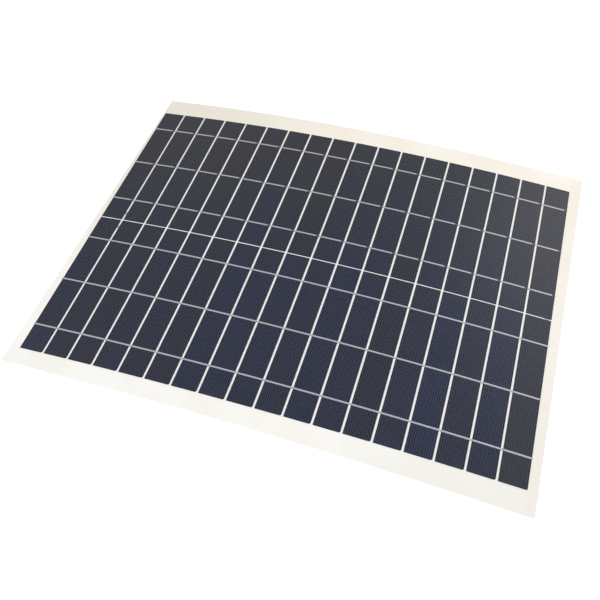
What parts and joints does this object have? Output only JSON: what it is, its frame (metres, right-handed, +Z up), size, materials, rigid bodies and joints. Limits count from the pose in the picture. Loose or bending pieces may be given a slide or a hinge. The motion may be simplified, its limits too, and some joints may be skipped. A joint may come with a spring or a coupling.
{
  "type": "flexible solar sheet",
  "caption": "Thin flexible solar laminate with two rows of strip cells on a cream-white board, bowed a little, with a slim junction box on its back.",
  "frame": {"origin": "bottom centre of the whole part, on the surface it stands on", "axes": "+X along the sheet's length, away from the junction box; +Y across the sheet, towards the upper string; +Z up"},
  "size_m": [0.4568, 0.355, 0.0234],
  "materials": {
    "white_board": "satin cream-white",
    "encapsulant": "soft milky film",
    "clear_film": "clear satin film",
    "silicon": "dark blue-grey polycrystalline",
    "tinned_copper": "dull tinned",
    "black_plastic": "matt",
    "black_rubber": "matt"
  },
  "bodies": {
    "segment_3": {"back_board_3": "white_board", "cell_lower_08": "silicon", "cell_lower_09": "silicon", "cell_lower_10": "silicon", "cell_lower_11": "silicon", "cell_upper_08": "silicon", "cell_upper_09": "silicon", "cell_upper_10": "silicon", "cell_upper_11": "silicon", "encapsulant_3": "encapsulant", "front_film_3": "clear_film"},
    "segment_1": {"adhesive_pad": "black_rubber", "back_board_1": "white_board", "bus_ribbon_left_lower": "tinned_copper", "bus_ribbon_left_upper": "tinned_copper", "bypass_diode": "black_plastic", "cable_grommet": "black_rubber", "cell_lower_01": "silicon", "cell_lower_02": "silicon", "cell_lower_03": "silicon", "cell_upper_01": "silicon", "cell_upper_02": "silicon", "cell_upper_03": "silicon", "encapsulant_1": "encapsulant", "front_film_1": "clear_film", "junction_base": "black_plastic", "junction_gasket": "black_rubber", "junction_lid": "black_plastic"},
    "segment_2": {"back_board_2": "white_board", "cell_lower_04": "silicon", "cell_lower_05": "silicon", "cell_lower_06": "silicon", "cell_lower_07": "silicon", "cell_upper_04": "silicon", "cell_upper_05": "silicon", "cell_upper_06": "silicon", "cell_upper_07": "silicon", "encapsulant_2": "encapsulant", "front_film_2": "clear_film"},
    "segment_4": {"back_board_4": "white_board", "cell_lower_12": "silicon", "cell_lower_13": "silicon", "cell_lower_14": "silicon", "cell_lower_15": "silicon", "cell_upper_12": "silicon", "cell_upper_13": "silicon", "cell_upper_14": "silicon", "cell_upper_15": "silicon", "encapsulant_4": "encapsulant", "front_film_4": "clear_film"},
    "segment_5": {"back_board_5": "white_board", "bus_ribbon_right": "tinned_copper", "cell_lower_16": "silicon", "cell_lower_17": "silicon", "cell_lower_18": "silicon", "cell_upper_16": "silicon", "cell_upper_17": "silicon", "cell_upper_18": "silicon", "encapsulant_5": "encapsulant", "front_film_5": "clear_film"}
  },
  "joints": [
    {"name": "fold_left_inner", "type": "hinge", "parent": "segment_3", "child": "segment_2", "pos_m": [-0.04874, -0.00105, 0.02213], "axis": [0, -1, 0], "range_deg": [-8.8, 3.9], "stiffness_Nm_per_rad": 15},
    {"name": "fold_left_outer", "type": "hinge", "parent": "segment_2", "child": "segment_1", "pos_m": [-0.14608, -0.00105, 0.02134], "axis": [0, -1, 0], "range_deg": [-8.8, 3.9], "stiffness_Nm_per_rad": 15},
    {"name": "fold_right_inner", "type": "hinge", "parent": "segment_3", "child": "segment_4", "pos_m": [0.04854, -0.00105, 0.01876], "axis": [0, 1, 0], "range_deg": [-8.8, 3.9], "stiffness_Nm_per_rad": 15},
    {"name": "fold_right_outer", "type": "hinge", "parent": "segment_4", "child": "segment_5", "pos_m": [0.14559, -0.00105, 0.01123], "axis": [0, 1, 0], "range_deg": [-8.8, 3.9], "stiffness_Nm_per_rad": 15}
  ],
  "couplings": [
    {"joint": "fold_left_outer", "follows": "fold_left_inner", "ratio": 1},
    {"joint": "fold_right_outer", "follows": "fold_right_inner", "ratio": 1}
  ]
}
